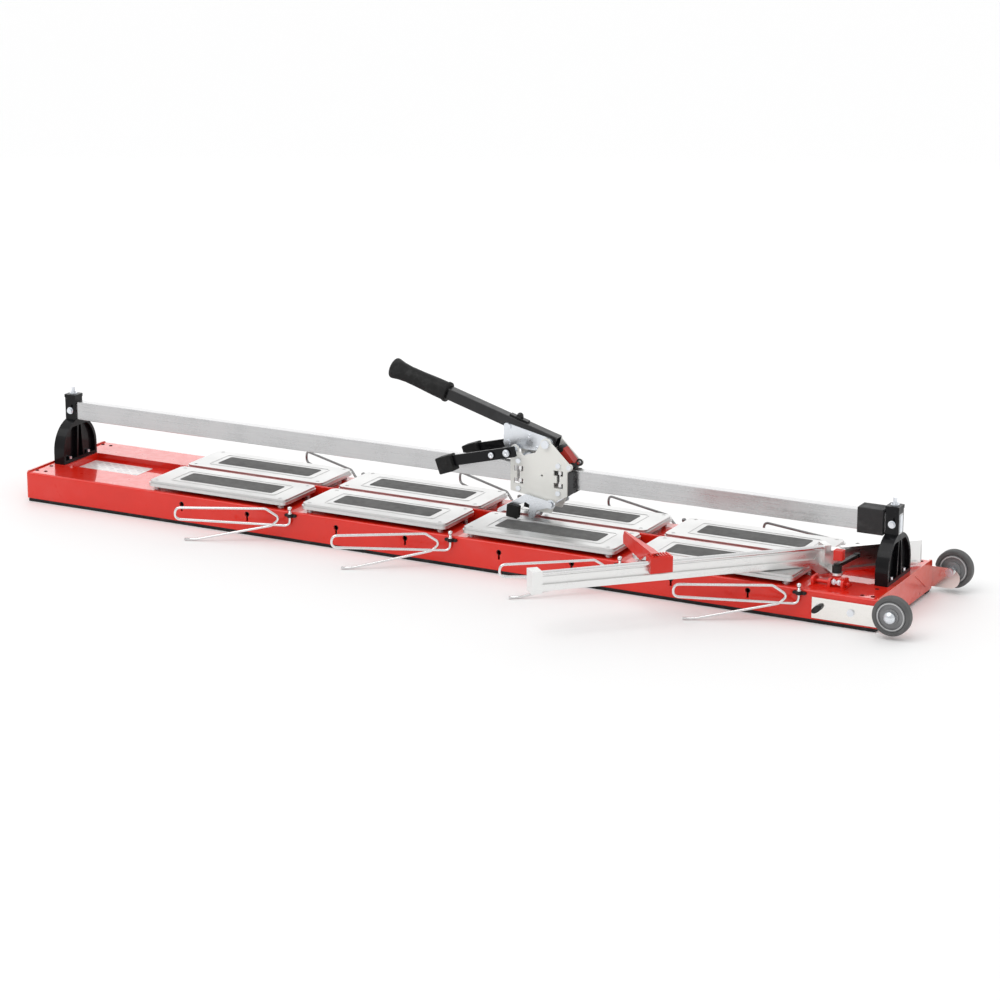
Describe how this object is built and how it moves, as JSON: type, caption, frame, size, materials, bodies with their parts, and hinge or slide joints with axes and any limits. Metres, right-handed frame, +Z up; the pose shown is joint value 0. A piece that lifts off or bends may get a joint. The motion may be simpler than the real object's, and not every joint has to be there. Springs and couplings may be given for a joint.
{
  "type": "rail tile cutter",
  "caption": "Large rail tile cutter with a pressed base, sprung support plates, swing-out wire arms, a scoring and breaking carriage with a lever handle, transport wheels and an angled fence.",
  "frame": {"origin": "on the floor under the middle of the base", "axes": "+X along the rail to the wheels, +Y away from the operator, +Z up"},
  "size_m": [2.1565, 0.7969, 0.3999],
  "materials": {
    "red_paint": "gloss",
    "black_paint": "gloss",
    "cream_paint": "satin",
    "aluminium": "satin",
    "rail_steel": "satin",
    "zinc": "satin",
    "wire_steel": "bright",
    "pad_rubber": "matt",
    "black_rubber": "matt",
    "tyre_rubber": "matt",
    "wheel_plastic": "matt",
    "black_plastic": "matt",
    "red_plastic": "gloss"
  },
  "bodies": {
    "frame": {"base_shell": "red_paint", "end_plates": "red_paint", "foot_strips": "black_rubber", "breaking_bar": "rail_steel", "guide_studs": "zinc", "plate_springs": "wire_steel", "arm_sockets": "black_plastic", "left_tower": "black_paint", "right_tower": "black_paint", "rail": "rail_steel", "rail_buffer": "black_rubber", "tower_bolts": "zinc", "wheel_brackets": "zinc", "wheel_axles": "zinc", "fence_bracket": "red_paint"},
    "plate_front_1": {"plate_f1": "aluminium", "pad_f1": "pad_rubber"},
    "plate_front_2": {"plate_f2": "aluminium", "pad_f2": "pad_rubber"},
    "plate_front_3": {"plate_f3": "aluminium", "pad_f3": "pad_rubber"},
    "plate_front_4": {"plate_f4": "aluminium", "pad_f4": "pad_rubber"},
    "plate_rear_1": {"plate_b1": "aluminium", "pad_b1": "pad_rubber"},
    "plate_rear_2": {"plate_b2": "aluminium", "pad_b2": "pad_rubber"},
    "plate_rear_3": {"plate_b3": "aluminium", "pad_b3": "pad_rubber"},
    "plate_rear_4": {"plate_b4": "aluminium", "pad_b4": "pad_rubber"},
    "swing_front_1": {"arm_front_1": "wire_steel"},
    "swing_front_2": {"arm_front_2": "wire_steel"},
    "swing_front_3": {"arm_front_3": "wire_steel"},
    "swing_front_4": {"arm_front_4": "wire_steel"},
    "swing_rear_1": {"arm_rear_1": "wire_steel"},
    "swing_rear_2": {"arm_rear_2": "wire_steel"},
    "swing_rear_3": {"arm_rear_3": "wire_steel"},
    "swing_rear_4": {"arm_rear_4": "wire_steel"},
    "front_wheel": {"front_wheel": "wheel_plastic", "front_tyre": "tyre_rubber"},
    "rear_wheel": {"rear_wheel": "wheel_plastic", "rear_tyre": "tyre_rubber"},
    "carriage": {"carriage_plates": "cream_paint", "carriage_bolts": "zinc"},
    "left_roller": {"left_roller": "wire_steel"},
    "right_roller": {"right_roller": "wire_steel"},
    "handle": {"handle_tube": "black_paint", "lever_plates": "zinc", "hand_grip": "black_rubber"},
    "latch": {"handle_latch": "red_paint"},
    "breaker": {"breaker_arms": "black_paint", "breaker_feet": "black_rubber"},
    "score_head": {"score_arm": "zinc", "score_feet": "black_rubber"},
    "cutter": {"scoring_wheel": "rail_steel"},
    "fence": {"fence_bar": "aluminium", "fence_rod": "wire_steel"},
    "stop": {"stop_slider": "red_plastic"},
    "clamp": {"clamp_lever": "black_plastic"}
  },
  "joints": [
    {"name": "plate_press_front_1", "type": "slide", "parent": "frame", "child": "plate_front_1", "axis": [0, 0, 1], "range_m": [-0.005, 0], "stiffness_N_per_m": 8000, "springref_m": 0.004, "deforming": ["plate_springs"]},
    {"name": "plate_press_front_2", "type": "slide", "parent": "frame", "child": "plate_front_2", "axis": [0, 0, 1], "range_m": [-0.005, 0], "stiffness_N_per_m": 8000, "springref_m": 0.004, "deforming": ["plate_springs"]},
    {"name": "plate_press_front_3", "type": "slide", "parent": "frame", "child": "plate_front_3", "axis": [0, 0, 1], "range_m": [-0.005, 0], "stiffness_N_per_m": 8000, "springref_m": 0.004, "deforming": ["plate_springs"]},
    {"name": "plate_press_front_4", "type": "slide", "parent": "frame", "child": "plate_front_4", "axis": [0, 0, 1], "range_m": [-0.005, 0], "stiffness_N_per_m": 8000, "springref_m": 0.004, "deforming": ["plate_springs"]},
    {"name": "plate_press_rear_1", "type": "slide", "parent": "frame", "child": "plate_rear_1", "axis": [0, 0, 1], "range_m": [-0.005, 0], "stiffness_N_per_m": 8000, "springref_m": 0.004, "deforming": ["plate_springs"]},
    {"name": "plate_press_rear_2", "type": "slide", "parent": "frame", "child": "plate_rear_2", "axis": [0, 0, 1], "range_m": [-0.005, 0], "stiffness_N_per_m": 8000, "springref_m": 0.004, "deforming": ["plate_springs"]},
    {"name": "plate_press_rear_3", "type": "slide", "parent": "frame", "child": "plate_rear_3", "axis": [0, 0, 1], "range_m": [-0.005, 0], "stiffness_N_per_m": 8000, "springref_m": 0.004, "deforming": ["plate_springs"]},
    {"name": "plate_press_rear_4", "type": "slide", "parent": "frame", "child": "plate_rear_4", "axis": [0, 0, 1], "range_m": [-0.005, 0], "stiffness_N_per_m": 8000, "springref_m": 0.004, "deforming": ["plate_springs"]},
    {"name": "arm_swing_front_1", "type": "hinge", "parent": "frame", "child": "swing_front_1", "pos_m": [-0.33, -0.16, 0.06], "axis": [0, 0, 1], "range_deg": [-24, 65]},
    {"name": "arm_swing_front_2", "type": "hinge", "parent": "frame", "child": "swing_front_2", "pos_m": [0.07, -0.16, 0.06], "axis": [0, 0, 1], "range_deg": [-31, 58]},
    {"name": "arm_swing_front_3", "type": "hinge", "parent": "frame", "child": "swing_front_3", "pos_m": [0.47, -0.16, 0.06], "axis": [0, 0, 1], "range_deg": [-36.5, 52.5]},
    {"name": "arm_swing_front_4", "type": "hinge", "parent": "frame", "child": "swing_front_4", "pos_m": [0.87, -0.16, 0.06], "axis": [0, 0, 1], "range_deg": [-24.5, 64.5]},
    {"name": "arm_swing_rear_1", "type": "hinge", "parent": "frame", "child": "swing_rear_1", "pos_m": [-0.33, 0.16, 0.06], "axis": [0, 0, -1], "range_deg": [-27, 62]},
    {"name": "arm_swing_rear_2", "type": "hinge", "parent": "frame", "child": "swing_rear_2", "pos_m": [0.07, 0.16, 0.06], "axis": [0, 0, -1], "range_deg": [-29, 60]},
    {"name": "arm_swing_rear_3", "type": "hinge", "parent": "frame", "child": "swing_rear_3", "pos_m": [0.47, 0.16, 0.06], "axis": [0, 0, -1], "range_deg": [-23, 66]},
    {"name": "arm_swing_rear_4", "type": "hinge", "parent": "frame", "child": "swing_rear_4", "pos_m": [0.87, 0.16, 0.06], "axis": [0, 0, -1], "range_deg": [-15, 74]},
    {"name": "front_wheel_spin", "type": "hinge", "parent": "frame", "child": "front_wheel", "pos_m": [1.078, -0.181, 0.0485], "axis": [0, 1, 0], "continuous": true},
    {"name": "rear_wheel_spin", "type": "hinge", "parent": "frame", "child": "rear_wheel", "pos_m": [1.078, 0.181, 0.0485], "axis": [0, 1, 0], "continuous": true},
    {"name": "carriage_slide", "type": "slide", "parent": "frame", "child": "carriage", "axis": [1, 0, 0], "range_m": [-0.98, 0.58]},
    {"name": "left_roller_spin", "type": "hinge", "parent": "carriage", "child": "left_roller", "pos_m": [0.165, -0.0165, 0.1845], "axis": [0, 0, 1], "continuous": true},
    {"name": "right_roller_spin", "type": "hinge", "parent": "carriage", "child": "right_roller", "pos_m": [0.26, -0.0165, 0.1845], "axis": [0, 0, 1], "continuous": true},
    {"name": "handle_press", "type": "hinge", "parent": "carriage", "child": "handle", "pos_m": [0.23, 0, 0.2595], "axis": [0, 1, 0], "range_deg": [-10, 0], "stiffness_Nm_per_rad": 8, "springref_deg": 28.65},
    {"name": "latch_tilt", "type": "hinge", "parent": "carriage", "child": "latch", "pos_m": [0.286, 0, 0.215], "axis": [0, 1, 0], "range_deg": [0, 28]},
    {"name": "breaker_press", "type": "hinge", "parent": "carriage", "child": "breaker", "pos_m": [0.155, 0, 0.2395], "axis": [0, 1, 0], "range_deg": [-33, 0], "stiffness_Nm_per_rad": 1.5, "springref_deg": 34.38},
    {"name": "score_lift", "type": "hinge", "parent": "carriage", "child": "score_head", "pos_m": [0.245, 0, 0.13], "axis": [0, 1, 0], "range_deg": [0, 12], "stiffness_Nm_per_rad": 0.5, "springref_deg": -11.46},
    {"name": "cutter_spin", "type": "hinge", "parent": "score_head", "child": "cutter", "pos_m": [0.2, 0, 0.101], "axis": [0, 1, 0], "continuous": true},
    {"name": "fence_swing", "type": "hinge", "parent": "frame", "child": "fence", "pos_m": [0.92629, -0.09875, 0.1], "axis": [0, 0, 1], "range_deg": [0, 20]},
    {"name": "stop_slide", "type": "slide", "parent": "fence", "child": "stop", "axis": [0.7071, 0.7071, 0], "range_m": [-0.2, 0.17]},
    {"name": "clamp_turn", "type": "hinge", "parent": "frame", "child": "clamp", "pos_m": [0.92629, -0.09875, 0.14], "axis": [0, 0, 1], "range_deg": [-35, 0]}
  ],
  "couplings": [
    {"joint": "left_roller_spin", "follows": "carriage_slide", "rad_per_m": 156.25},
    {"joint": "right_roller_spin", "follows": "carriage_slide", "rad_per_m": 156.25}
  ]
}
